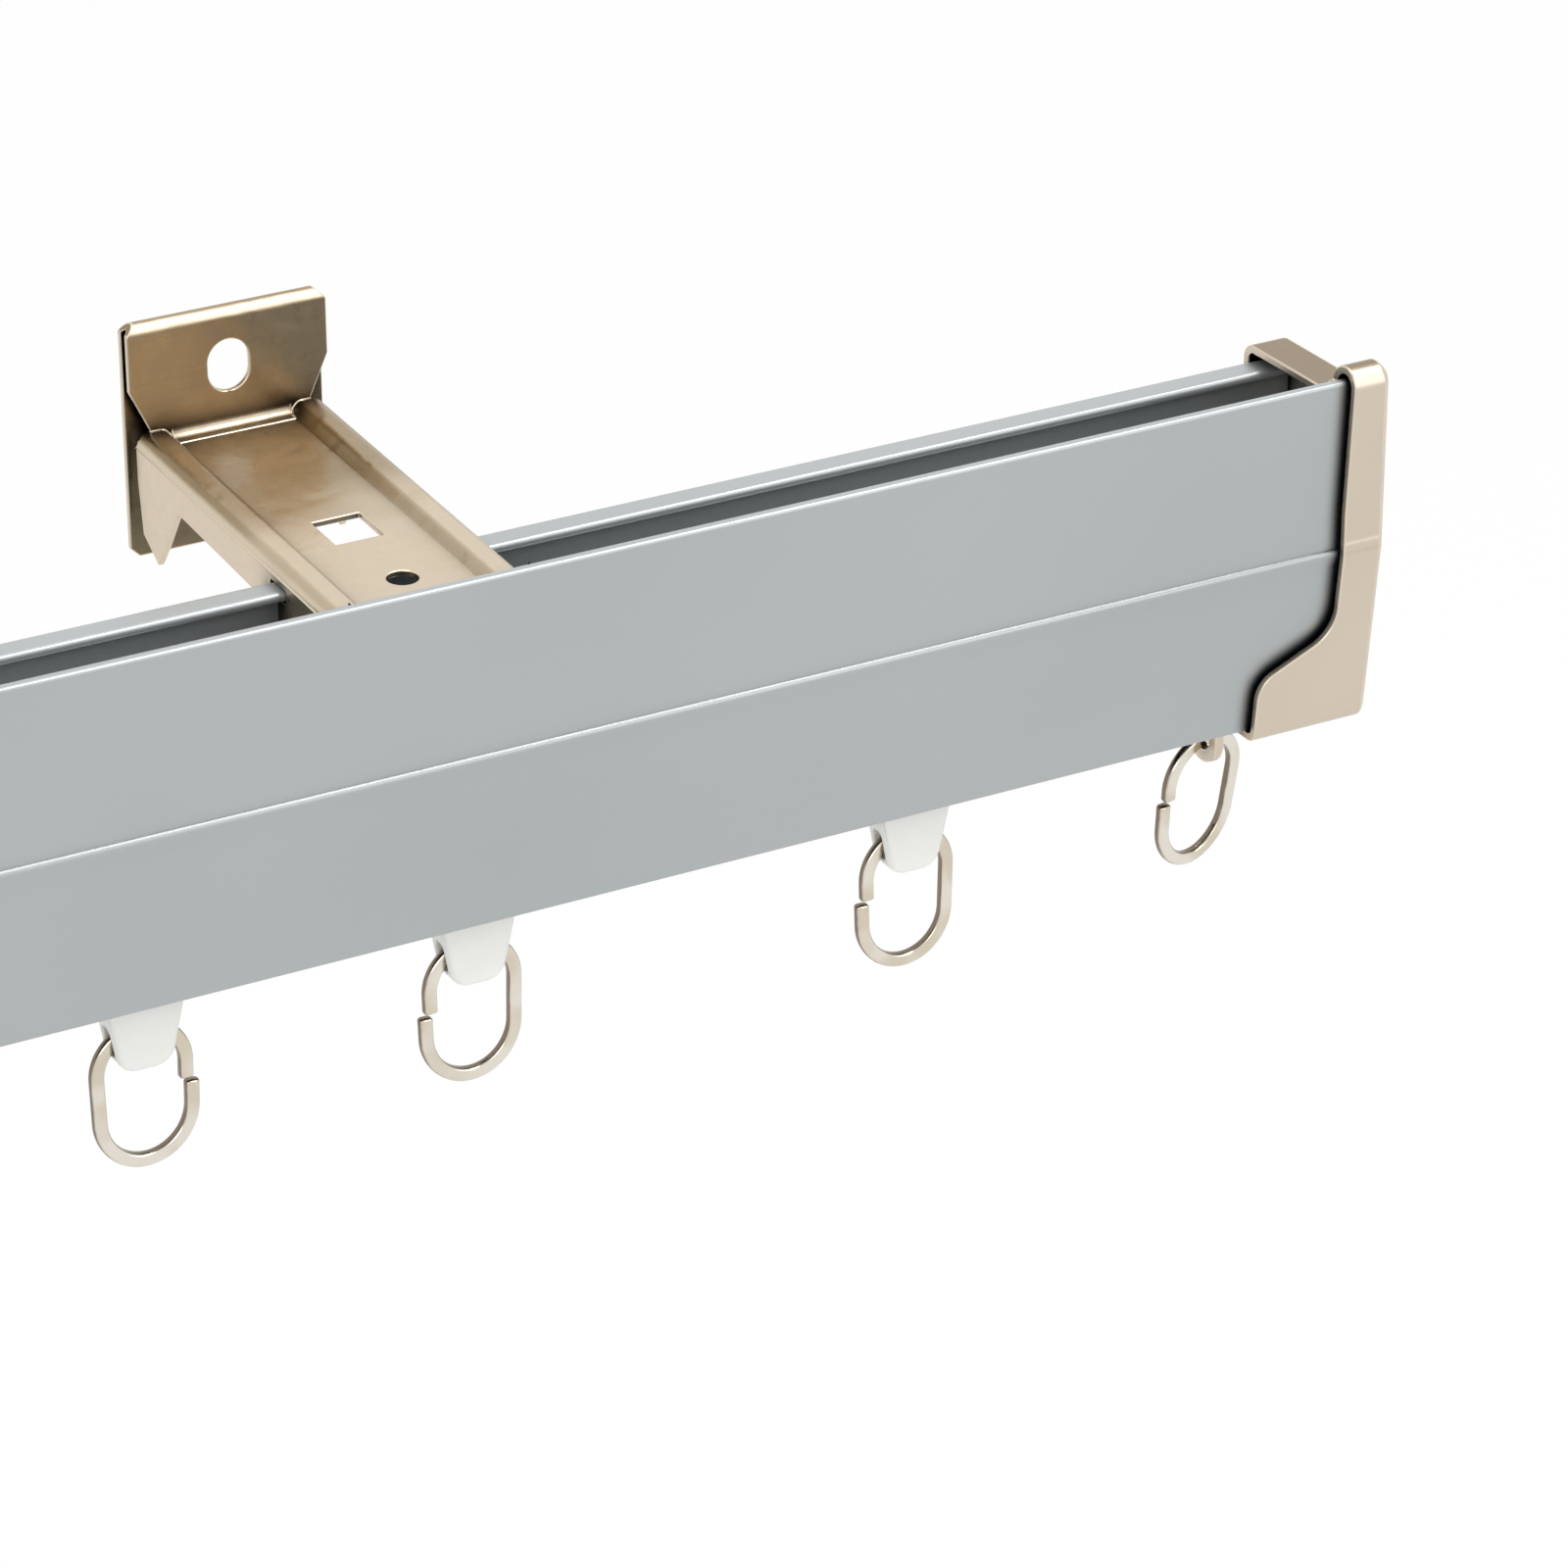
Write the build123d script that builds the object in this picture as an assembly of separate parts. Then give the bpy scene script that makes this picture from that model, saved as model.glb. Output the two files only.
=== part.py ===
from build123d import *
import os
from math import sqrt

# A short cut length of wall-fixed curtain track: an extruded rail with a high fascia, two folded
# steel brackets, two end caps with a hanging tongue, and gliders with split rings.
# The part's frame: X along the track with 0 at mid-length, Y into the wall with 0 on the wall's
# face, Z up with 0 at the height of the screw holes' centres.
# Each piece is drawn in the rail's own frame, where y is measured from the fascia's face towards
# the wall and z from the rail's bottom edge. place() moves it into the part's frame.
# All sizes are in millimetres.

# Overall
overall_length = 400.0
wall_reach = 46.95

# Clearances between pieces that are seated, and between pieces that move
seat_gap = 0.1
grip_gap = 0.15
running_gap = 0.15
hook_gap = 0.42

# Rail extrusion
fascia_height = 35.0
fascia_lean = 2.0
crease_height = 17.6
crease_radius = 0.55
crease_stand = 0.3
rail_depth = 16.1
rail_wall = 1.2
rear_step = 3.65
web_thickness = 1.2
rear_lip_width = 3.0
rear_lip_thickness = 1.0
rear_corner_radius = 0.7
edge_radius = 0.3
hook_bead_stand = 0.8
hook_bead_thickness = 0.9
slot_centre = 7.7
slot_width = 5.8
slot_lip_thickness = 1.2

# End caps
cap_wall = 0.8
cap_front_gap = 0.5
cap_top_width = 4.0
cap_width = 4.7
cap_foot_width = 12.8
cap_shoulder_height = 22.0
cap_shoulder_radius = 12.0
cap_waist_height = 9.6
cap_waist_radius = 4.0
cap_toe_height = 5.7
cap_toe_radius = 3.0
cap_loop_radius = 1.55
cap_loop_drop = 0.7
cap_rear_rise = 1.25
cap_bar_climb = 0.3
cap_rear_radius = 1.2
cap_foot_radius = 0.9
cap_front_lip = 2.4
cap_rear_lip = 2.4
cap_edge = 0.7
tongue_inset = 13.7
tongue_thickness = 1.0
tongue_width = 5.0
tongue_drop = 5.2
tongue_rise = 3.2
tongue_bend_radius = 1.2
tongue_hole_radius = 1.3
tongue_hole_drop = 2.6

# Brackets, with heights counted from the top of the arm's web and depths from the wall
bracket_inset = 97.5
sheet = 0.6
arm_slope = 0.028
arm_web_half = 6.0
arm_bead_rise = 1.0
arm_bead_run = 0.9
arm_half_width = 9.5
arm_lift = 1.45
arm_bead_radius = 0.6
arm_shoulder_radius = 1.2
flange_drop = 3.6
flange_slope_drop = 1.1
flange_grip_drop = 6.6
flange_nose_run = 2.2
flange_nose_rise = 1.3
gusset_start_back = 10.75
gusset_knee_back = 7.65
gusset_knee_drop = 8.2
gusset_tip_back = 5.75
gusset_tip_drop = 10.7
gusset_heel_back = 2.55
gusset_heel_drop = 8.8
plate_width = 20.0
plate_rise = 11.6
plate_drop = 11.9
plate_corner = 0.9
plate_taper_rise = 5.2
plate_taper_foot = 0.6
plate_taper_inset = 2.1
plate_layer_gap = 0.9
screw_hole_rise = 6.0
screw_hole_width = 4.2
screw_hole_height = 5.1
back_hole_width = 7.4
back_hole_height = 8.3
arm_slot_width = 4.7
arm_slot_length = 5.1
arm_slot_centre = 20.1
arm_hole_radius = 1.45
arm_hole_centre = 8.9

# Rings of flattened wire
wire = 1.35
wire_edge = 0.3
ring_half_width = 5.0
ring_height = 14.8
ring_joint_step = 0.55
ring_upper_limb = 2.6
ring_joint_gap = 0.45
end_ring_yaw = 13.0
end_ring_tilt = 7.0

# Gliders, counted from the right end, where the first three stand unevenly
glider_count = 7
first_glider_insets = (46.8, 92.4, 125.2)
turned_rings = (3,)
head_length = 9.4
head_width = 8.2
head_height = 2.6
head_corner = 1.6
neck_length = 6.6
neck_width = 4.8
neck_shoulder = 0.4
eye_top_width = 7.0
eye_foot_width = 4.9
eye_thickness = 3.6
eye_drop = 8.27
eye_corner_radius = 1.8
eye_edge = 0.4
eye_slot_corner = 0.3
ring_drop = 4.0

# What follows from the sizes above
half_length = overall_length / 2
rear_height = fascia_height - rear_step
arm_web_top = rear_height + arm_lift + sheet
hole_height = arm_web_top + screw_hole_rise
cap_skin = seat_gap + cap_wall / 2
cap_front_skin = cap_front_gap + cap_wall / 2
rail_length = overall_length - 2 * (cap_wall + seat_gap)
ring_radius = ring_half_width - wire / 2
rear_inner = rail_depth - rail_wall
tongue_hole_floor = -tongue_hole_drop - tongue_hole_radius


def place(shape):
    """The shape moved from the rail's frame to the part's frame."""
    return Pos(0, -wall_reach, -hole_height) * shape


def rounded(sketch, radius, *corners):
    """The sketch with the corner nearest to each given point rounded."""
    picked = [sketch.vertices().sort_by_distance(corner)[0] for corner in corners]
    return fillet(picked, radius)


def box_between(x0, x1, y0, y1, z0, z1):
    """A block between two corners."""
    return Pos((x0 + x1) / 2, (y0 + y1) / 2, (z0 + z1) / 2) * Box(x1 - x0, y1 - y0, z1 - z0)


def across(sketch, half_span):
    """A sketch of X and Z, made solid to both sides along Y."""
    return extrude(Plane.XZ * sketch, half_span, both=True)


def along(sketch, x0, x1):
    """A sketch of Y and Z, made solid from x0 to x1."""
    return extrude(Plane.YZ.offset(x0) * sketch, x1 - x0)


# Rail
def rail():
    """The extrusion: fascia, web, rear wall with its lip, and the glider channel's two lips."""
    lean_inner = fascia_lean + rail_wall
    fascia = Polygon(
        (0, crease_height),
        (fascia_lean, 0),
        (lean_inner, 0),
        (rail_wall, crease_height),
        (rail_wall, fascia_height),
        (0, fascia_height),
    )
    fascia = rounded(fascia, edge_radius, (0, fascia_height), (rail_wall, fascia_height))
    crease = Pos(crease_radius - crease_stand, crease_height) * Circle(crease_radius)
    web = Pos(0, crease_height - web_thickness / 2) * Rectangle(
        rear_inner, web_thickness, align=(Align.MIN, Align.CENTER)
    )
    web -= Pos(rail_wall / 2, crease_height) * Rectangle(
        rail_wall, 4 * web_thickness, align=(Align.MAX, Align.CENTER)
    )
    rear = Pos(rear_inner, 0) * Rectangle(rail_wall, rear_height, align=(Align.MIN, Align.MIN))
    nose = rear_lip_thickness / 2
    lip_mid = rear_height - nose
    lip = Pos(rail_depth, lip_mid) * Rectangle(
        rear_lip_width - nose, rear_lip_thickness, align=(Align.MAX, Align.CENTER)
    )
    lip += Pos(rail_depth - rear_lip_width + nose, lip_mid) * Circle(nose)
    hook_bead = Pos(rail_wall / 2, hook_bead_height()) * Rectangle(
        rail_wall / 2 + hook_bead_stand, hook_bead_thickness, align=(Align.MIN, Align.MIN)
    )
    front_edge = slot_centre - slot_width / 2
    rear_edge = slot_centre + slot_width / 2
    front_lip = Pos(lean_inner - rail_wall / 2, 0) * Rectangle(
        front_edge - lean_inner + rail_wall / 2, slot_lip_thickness, align=(Align.MIN, Align.MIN)
    )
    rear_lip = Pos(rear_edge, 0) * Rectangle(
        rail_depth - rear_edge, slot_lip_thickness, align=(Align.MIN, Align.MIN)
    )
    section = fascia + crease + web + rear + lip + hook_bead + front_lip + rear_lip
    section = rounded(section, rear_corner_radius, (rail_depth, rear_height))
    section = rounded(section, edge_radius, (fascia_lean, 0), (rail_depth, 0))
    return along(section, -rail_length / 2, rail_length / 2)


def hook_bead_height():
    """The underside of the fascia's inner bead, level with the rear lip's underside."""
    return rear_height - rear_lip_thickness


# End cap, drawn with its outer end face at x = 0 and the rail towards -x
def cap_rear_line():
    """The cap's sheet from its rear foot up the rear wall and along the bar to the hairpin."""
    rear_y = rail_depth + cap_skin
    leg_y = 2 * cap_loop_radius - cap_front_skin
    top_z = rear_height + cap_rear_rise
    return FilletPolyline(
        (rail_depth - cap_rear_lip, -cap_skin),
        (rear_y, -cap_skin),
        (rear_y, top_z),
        (leg_y, top_z + cap_bar_climb),
        (leg_y, fascia_height - cap_loop_drop),
        radius=[cap_foot_radius, cap_rear_radius, 0],
    )


def cap_front_line():
    """The cap's sheet from the hairpin over the fascia's top down to the front foot."""
    loop_z = fascia_height - cap_loop_drop
    foot_y = fascia_lean * (crease_height + cap_skin) / crease_height - cap_front_skin
    hairpin = CenterArc((cap_loop_radius - cap_front_skin, loop_z), cap_loop_radius, 0, 180)
    front = FilletPolyline(
        (-cap_front_skin, loop_z),
        (-cap_front_skin, crease_height),
        (foot_y, -cap_skin),
        (fascia_lean + cap_front_lip, -cap_skin),
        radius=[0, cap_foot_radius],
    )
    return hairpin + front


def cap_shape_cut():
    """What the front plate lacks beside its S-shaped edge, as a block through the cap."""
    over = fascia_height + 2 * cap_loop_radius
    under = -2 * cap_foot_radius
    beyond = -2 * cap_foot_width
    edge = FilletPolyline(
        (-cap_top_width, over),
        (-cap_width, cap_shoulder_height),
        (-cap_width, cap_waist_height),
        (-cap_foot_width, cap_toe_height),
        (-cap_foot_width, under),
        radius=[cap_shoulder_radius, cap_waist_radius, cap_toe_radius],
    )
    rest = Polyline((-cap_foot_width, under), (beyond, under), (beyond, over), (-cap_top_width, over))
    return across(make_face(edge + rest), rail_depth)


def cap_tongue():
    """The strip that runs in over the channel's lips and hangs through its slot as a tongue."""
    path = FilletPolyline(
        (-cap_wall / 2, tongue_rise),
        (-tongue_inset, tongue_rise),
        (-tongue_inset, -tongue_drop),
        radius=[tongue_bend_radius],
    )
    strip = Pos(0, slot_centre) * across(trace(path, tongue_thickness), tongue_width / 2)
    end_radius = tongue_width / 2
    outline = Pos(slot_centre, end_radius - tongue_drop) * (
        Circle(end_radius) + Rectangle(tongue_width, 4 * tongue_width, align=(Align.CENTER, Align.MIN))
    )
    hole = Pos(slot_centre, -tongue_hole_drop) * Circle(tongue_hole_radius)
    reach = tongue_inset + tongue_thickness
    return (strip & along(outline, -reach, 0)) - along(hole, -reach, -tongue_inset + tongue_thickness)


def end_cap():
    """One pressed cap: shell round the rail's end, end wall and tongue."""
    rear_line = cap_rear_line()
    front_line = cap_front_line()
    foot_line = Line(front_line @ 1, rear_line @ 0)
    rim = along(trace(rear_line, cap_wall), -cap_width, 0)
    front = along(trace(front_line, cap_wall), -cap_foot_width, 0) - cap_shape_cut()
    outline = make_face(rear_line + front_line + foot_line) + trace(foot_line, cap_wall)
    end_wall = along(outline, -cap_wall, 0)
    shell = rim + front + end_wall
    end_edges = shell.faces().sort_by(Axis.X)[-1].outer_wire().edges()
    return chamfer(end_edges, cap_edge) + cap_tongue()


# Bracket, drawn with its middle at x = 0
def arm_section():
    """The arm's folded section: flat web, a raised bead on each side, down-turned flanges."""
    web_z = arm_web_top - sheet / 2
    bead_z = web_z + arm_bead_rise
    side_x = arm_half_width - sheet / 2
    bead_x = arm_web_half + arm_bead_run
    half = [(arm_web_half, web_z), (bead_x, bead_z), (side_x, bead_z), (side_x, arm_web_top - sheet)]
    other = [(-x, z) for x, z in reversed(half)]
    radii = [arm_shoulder_radius, arm_bead_radius, arm_bead_radius]
    return trace(FilletPolyline(other + half, radius=radii + radii[::-1]), sheet)


def flange():
    """One side flange as a plate of Y and Z, with its gusset and the notches that grip the rail."""
    nose_y = rail_wall + grip_gap
    back_y = layer_front() + sheet / 2
    top_z = arm_web_top - sheet / 2
    grip_z = arm_web_top - flange_grip_drop
    foot_z = arm_web_top - flange_drop
    outline = Polygon(
        (nose_y, top_z - arm_slope * (back_y - nose_y)),
        (nose_y, grip_z + flange_nose_rise),
        (nose_y + flange_nose_run, grip_z),
        (rail_depth + grip_gap, grip_z),
        (rail_depth + grip_gap, foot_z - flange_slope_drop),
        (wall_reach - gusset_start_back, foot_z),
        (wall_reach - gusset_knee_back, arm_web_top - gusset_knee_drop),
        (wall_reach - gusset_tip_back, arm_web_top - gusset_tip_drop),
        (wall_reach - gusset_heel_back, arm_web_top - gusset_heel_drop),
        (back_y, foot_z),
        (back_y, top_z),
    )
    lip_under = rear_height - rear_lip_thickness
    wall_notch = Pos(rear_inner - grip_gap, rear_height + grip_gap) * Rectangle(
        rail_wall + 2 * grip_gap, fascia_height, align=(Align.MIN, Align.MAX)
    )
    lip_notch = Pos(rail_depth + grip_gap, rear_height + grip_gap) * Rectangle(
        rear_lip_width + 2 * grip_gap, rear_lip_thickness + 2 * grip_gap, align=(Align.MAX, Align.MAX)
    )
    bead_notch = Pos(0, lip_under - grip_gap) * Rectangle(
        rail_wall + hook_bead_stand + grip_gap,
        hook_bead_thickness + 2 * grip_gap,
        align=(Align.MIN, Align.MIN),
    )
    return outline - wall_notch - lip_notch - bead_notch


def layer_front():
    """The plate's front face: two layers of sheet and the gap between them, out from the wall."""
    return wall_reach - 2 * sheet - plate_layer_gap


def wall_plate():
    """The plate's two layers, joined by the rolled hem along the top."""
    half = plate_width / 2
    top_z = arm_web_top + plate_rise
    foot_z = arm_web_top - plate_drop
    taper_z = arm_web_top + plate_taper_rise
    taper_foot_z = arm_web_top + plate_taper_foot
    hem_radius = (sheet + plate_layer_gap) / 2
    hem_z = top_z - hem_radius - sheet / 2
    hem_y = layer_front() + sheet + plate_layer_gap / 2
    hem = along(trace(CenterArc((hem_y, hem_z), hem_radius, 180, -180), sheet), -half, half)
    inner = half - plate_taper_inset
    front = Polygon(
        (-half, hem_z),
        (-half, taper_z),
        (-inner, taper_foot_z),
        (-inner, arm_web_top - sheet),
        (inner, arm_web_top - sheet),
        (inner, taper_foot_z),
        (half, taper_z),
        (half, hem_z),
    )
    back = Polygon((-half, foot_z), (half, foot_z), (half, hem_z), (-half, hem_z))
    layers = Pos(0, layer_front() + sheet / 2) * across(front, sheet / 2)
    layers += Pos(0, wall_reach - sheet / 2) * across(back, sheet / 2)
    keep = Pos(0, (top_z + foot_z) / 2) * Rectangle(plate_width, top_z - foot_z)
    keep = chamfer(keep.vertices(), plate_corner)
    return (layers + hem) & Pos(0, wall_reach) * across(keep, 2 * sheet + 2 * plate_layer_gap)


def bracket():
    """One folded bracket: wall plate, arm, bend between them, flanges, slot and holes."""
    arm_front = rail_wall + grip_gap
    arm_back = layer_front() + sheet / 2
    arm = extrude(
        Plane.XZ.offset(-arm_back) * arm_section(),
        arm_back - arm_front,
        dir=(0, -1, -arm_slope),
    )
    bend = FilletPolyline(
        (arm_back - 3 * sheet, arm_web_top - sheet / 2),
        (arm_back, arm_web_top - sheet / 2),
        (arm_back, arm_web_top + 2 * sheet),
        radius=[arm_shoulder_radius],
    )
    body = arm + wall_plate() + along(trace(bend, sheet), -arm_web_half, arm_web_half)
    for side in (-1, 1):
        outer = side * arm_half_width
        inner = side * (arm_half_width - sheet)
        body += along(flange(), min(outer, inner), max(outer, inner))
    screw_hole = Pos(0, hole_height) * SlotOverall(screw_hole_height, screw_hole_width, rotation=90)
    back_hole = Pos(0, hole_height) * SlotOverall(back_hole_height, back_hole_width, rotation=90)
    body -= Pos(0, layer_front()) * across(screw_hole, sheet + plate_layer_gap / 2)
    body -= Pos(0, wall_reach) * across(back_hole, sheet + plate_layer_gap / 2)
    body -= Pos(0, arm_slot_centre, arm_web_top) * Box(arm_slot_width, arm_slot_length, 6 * sheet)
    body -= Pos(0, arm_hole_centre, arm_web_top) * Cylinder(arm_hole_radius, 6 * sheet)
    return body


# Ring, drawn in the XZ plane with the centre of its top arc at the origin
def ring():
    """A split ring of flattened wire whose lower end stands outside its upper end."""
    r = ring_radius
    foot_r = r + ring_joint_step / 2
    foot_z = -(ring_height - ring_half_width - wire / 2 - foot_r)
    joint_z = -ring_upper_limb
    path = (
        Line((-r, joint_z), (-r, 0))
        + CenterArc((0, 0), r, 180, -180)
        + Line((r, 0), (r, foot_z))
        + CenterArc((r - foot_r, foot_z), foot_r, 0, -180)
        + Line((r - 2 * foot_r, foot_z), (r - 2 * foot_r, joint_z - ring_joint_gap))
    )
    band = across(trace(path, wire), wire / 2)
    rims = [edge for edge in band.faces().filter_by(Axis.Y).edges() if edge.length > wire + wire_edge]
    return chamfer([edge for edge in rims if outside(edge, r, foot_z)], wire_edge)


def outside(edge, radius, foot_z):
    """Whether the middle of a ring's edge lies outside the wire's middle line."""
    middle = edge @ 0.5
    past_arc = max(middle.Z, foot_z - middle.Z, 0)
    return sqrt(middle.X**2 + past_arc**2) > radius + wire / 4


def ring_centre_drop():
    """How far below the rail's bottom edge a glider ring's top arc has its centre."""
    return ring_drop + ring_half_width


def end_ring_centre():
    """The height of an end ring's top arc centre, hung on the floor of the tongue's hole."""
    return tongue_hole_floor + hook_gap + wire / 2 - ring_radius


# Glider, drawn with its middle at x = 0
def glider():
    """One moulded slider: crowned head on the channel's lips, neck in the slot, eye below."""
    seat = slot_lip_thickness + running_gap
    plan = Rectangle(head_length, head_width)
    plan = chamfer(plan.vertices(), head_corner)
    head = extrude(Pos(0, slot_centre, seat) * plan, head_height)
    neck = box_between(
        -neck_length / 2,
        neck_length / 2,
        slot_centre - neck_width / 2,
        slot_centre + neck_width / 2,
        -neck_shoulder,
        seat,
    )
    top, foot = eye_top_width / 2, eye_foot_width / 2
    outline = Polygon((-foot, -eye_drop), (foot, -eye_drop), (top, 0), (-top, 0))
    outline = rounded(outline, eye_corner_radius, (-foot, -eye_drop), (foot, -eye_drop))
    eye = across(outline, eye_thickness / 2)
    eye = chamfer(eye.faces().filter_by(Axis.Y).edges(), eye_edge)
    body = head + neck + Pos(0, slot_centre) * eye
    return body - eye_slot()


def eye_slot():
    """The opening through the eye along X, clear of the arc of wire that hangs in it."""
    arc_centre = -ring_centre_drop()
    slope = (eye_top_width - eye_foot_width) / 2 / eye_drop
    mouth = eye_top_width / 2 - slope * (ring_drop + wire)
    inner = ring_radius - wire / 2
    top = -ring_drop + running_gap
    floor = arc_centre + sqrt(inner**2 - mouth**2) - running_gap
    opening = Pos(slot_centre, (top + floor) / 2) * Rectangle(wire + 2 * running_gap, top - floor)
    opening = chamfer(opening.vertices(), eye_slot_corner)
    return along(opening, -eye_top_width, eye_top_width)


def glider_insets():
    """Each glider's distance from the right end: the first few as placed, the rest spread evenly."""
    placed = list(first_glider_insets)
    last = placed[-1]
    left = glider_count - len(placed)
    pitch = (overall_length - tongue_inset - last) / (left + 1)
    return placed + [last + pitch * n for n in range(1, left + 1)]


def all_parts():
    """Every sub-part by name, in the rail's frame."""
    cap = Pos(half_length) * end_cap()
    arm = Pos(half_length - bracket_inset) * bracket()
    hung = Rot(0, 0, end_ring_yaw) * Rot(end_ring_tilt, 0, 0) * Pos(0, 0, -ring_radius) * ring()
    hook_z = end_ring_centre() + ring_radius
    hung = Pos(half_length - tongue_inset, slot_centre, hook_z) * hung
    parts = {
        "rail": rail(),
        "end_cap_right": cap,
        "end_cap_left": mirror(cap, Plane.YZ),
        "bracket_right": arm,
        "bracket_left": mirror(arm, Plane.YZ),
        "end_ring_right": hung,
        "end_ring_left": mirror(hung, Plane.YZ),
    }
    slider = glider()
    loop = ring()
    turned = mirror(loop, Plane.YZ)
    for number, inset in enumerate(glider_insets(), start=1):
        x = half_length - inset
        parts[f"glider_{number}"] = Pos(x) * slider
        shape = turned if number in turned_rings else loop
        parts[f"ring_{number}"] = Pos(x, slot_centre, -ring_centre_drop()) * shape
    return parts


os.makedirs("parts", exist_ok=True)
for name, shape in all_parts().items():
    export_step(place(shape), f"parts/{name}.step")
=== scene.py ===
"""Dressed model of a short length of wall-fixed curtain track, seen as in the photograph.

Sizes are in millimetres in the rail's own frame, as in the part's source: y runs from the fascia's
face towards the wall and z from the rail's bottom edge. place() turns them into metres in the
part's frame, where Y is 0 on the wall's face and Z is 0 at the screw holes' height.
"""

from __future__ import annotations

import logging
import math
from dataclasses import dataclass
from enum import Enum
from typing import Any, Iterable, Mapping, Sequence

import bmesh
import bpy
from mathutils import Matrix, Vector

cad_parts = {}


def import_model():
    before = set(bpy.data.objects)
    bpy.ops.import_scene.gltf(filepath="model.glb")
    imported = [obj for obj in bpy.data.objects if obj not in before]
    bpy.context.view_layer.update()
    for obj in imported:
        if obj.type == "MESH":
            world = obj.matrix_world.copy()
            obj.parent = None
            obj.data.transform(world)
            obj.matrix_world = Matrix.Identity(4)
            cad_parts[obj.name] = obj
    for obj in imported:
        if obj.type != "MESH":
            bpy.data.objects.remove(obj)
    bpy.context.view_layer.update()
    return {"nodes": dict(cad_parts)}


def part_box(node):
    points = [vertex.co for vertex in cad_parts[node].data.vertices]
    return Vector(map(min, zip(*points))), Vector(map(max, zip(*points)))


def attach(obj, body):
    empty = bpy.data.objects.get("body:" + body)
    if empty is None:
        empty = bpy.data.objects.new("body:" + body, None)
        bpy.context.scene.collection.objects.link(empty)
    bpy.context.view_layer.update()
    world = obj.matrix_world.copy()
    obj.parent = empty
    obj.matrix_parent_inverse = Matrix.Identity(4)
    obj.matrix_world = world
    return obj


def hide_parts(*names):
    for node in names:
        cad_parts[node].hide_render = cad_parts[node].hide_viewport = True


log = logging.getLogger("curtain_track")

Point2 = tuple[float, float]
Point3 = tuple[float, float, float]
Colour = tuple[float, float, float, float]

MM = 0.001
HOLE_HEIGHT = 39.4
WALL_REACH = 46.95
HALF_LENGTH = 200.0
SLOT_CENTRE = 7.7

# A solid's points closer than this are one point, in metres.
WELD_DISTANCE = 1e-6
# Facets that meet at less than this are one face, and edges that turn more than the next are rounded.
FLAT_DEGREES = 0.6
CORNER_DEGREES = 28.0
# An outline whose half angle at a corner is over this runs straight on there.
STRAIGHT_DEGREES = 89.0

# Nearly all of a noise's values lie between these two.
NOISE_SPREAD: Point2 = (0.3, 0.7)
SMOOTH = {"interpolation_type": "SMOOTHSTEP"}
COLOUR_MIX = {"data_type": "RGBA"}


class Side(Enum):
    """Which end of the track a piece belongs to, as the sign of its X."""

    RIGHT = 1
    LEFT = -1


class Socket(Enum):
    """Inputs of Blender's colour mix, which share their names with its other kinds."""

    FACTOR = 0
    FIRST = 6
    SECOND = 7


# Helpers


def place(x: float, y: float, z: float) -> Vector:
    """A point of the rail's frame in mm, as metres in the part's frame."""
    return Vector((x * MM, (y - WALL_REACH) * MM, (z - HOLE_HEIGHT) * MM))


def metres(low: float, high: float) -> Point2:
    """Two lengths in mm, as metres."""
    return (low * MM, high * MM)


def span(source: Point2, target: Point2 = (0.0, 1.0), about: float = 0.0) -> dict[str, float]:
    """Set a map range's four limits.

    Args:
        source: the two values it takes.
        target: the two values it gives for them.
        about: what is added to both given values.

    Returns:
        The limits by input name.
    """
    low, high = (about + value for value in target)
    return {"From Min": source[0], "From Max": source[1], "To Min": low, "To Max": high}


def linear(hex_colour: str) -> Colour:
    """Turn an sRGB hex colour into linear values.

    Args:
        hex_colour: six hex digits, such as "A9B0B2".

    Returns:
        Red, green, blue and an alpha of 1.
    """
    channels = [int(hex_colour[i : i + 2], 16) / 255 for i in (0, 2, 4)]
    red, green, blue = (c / 12.92 if c <= 0.04045 else ((c + 0.055) / 1.055) ** 2.4 for c in channels)
    return (red, green, blue, 1.0)


def pattern(where: Any, size: float, detail: float) -> dict[str, Any]:
    """A noise's inputs for a pattern of a size in mm."""
    return {"Vector": where, "Scale": 1 / (size * MM), "Detail": detail}


def raised(height: Any, strength: float, depth: float) -> dict[str, Any]:
    """A bump's inputs for a pattern that stands out by a depth in mm."""
    return {"Height": height, "Strength": strength, "Distance": depth * MM}


def blend(factor: Any, first: Any, second: Any) -> dict[Socket, Any]:
    """A colour mix's inputs, where either colour may be a node or an sRGB hex colour."""
    first, second = (linear(colour) if isinstance(colour, str) else colour for colour in (first, second))
    return {Socket.FACTOR: factor, Socket.FIRST: first, Socket.SECOND: second}


def add_node(
    tree: bpy.types.NodeTree,
    kind: str,
    settings: Mapping[str, Any] | None = None,
    inputs: Mapping[Any, Any] | None = None,
) -> bpy.types.Node:
    """Add one node with its settings and links.

    Args:
        tree: the node tree it goes into.
        kind: Blender's name for the kind of node.
        settings: the node's own properties.
        inputs: for each input, by name, index or Socket, a plain value, another node's output, or
            another node, whose first output in use is then linked.

    Returns:
        The new node.
    """
    node = tree.nodes.new(kind)
    for name, value in (settings or {}).items():
        setattr(node, name, value)
    for key, value in (inputs or {}).items():
        socket = node.inputs[key.value if isinstance(key, Socket) else key]
        if isinstance(value, bpy.types.Node):
            value = next(output for output in value.outputs if output.enabled)
        if isinstance(value, bpy.types.NodeSocket):
            tree.links.new(value, socket)
        else:
            socket.default_value = value
    return node


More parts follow.
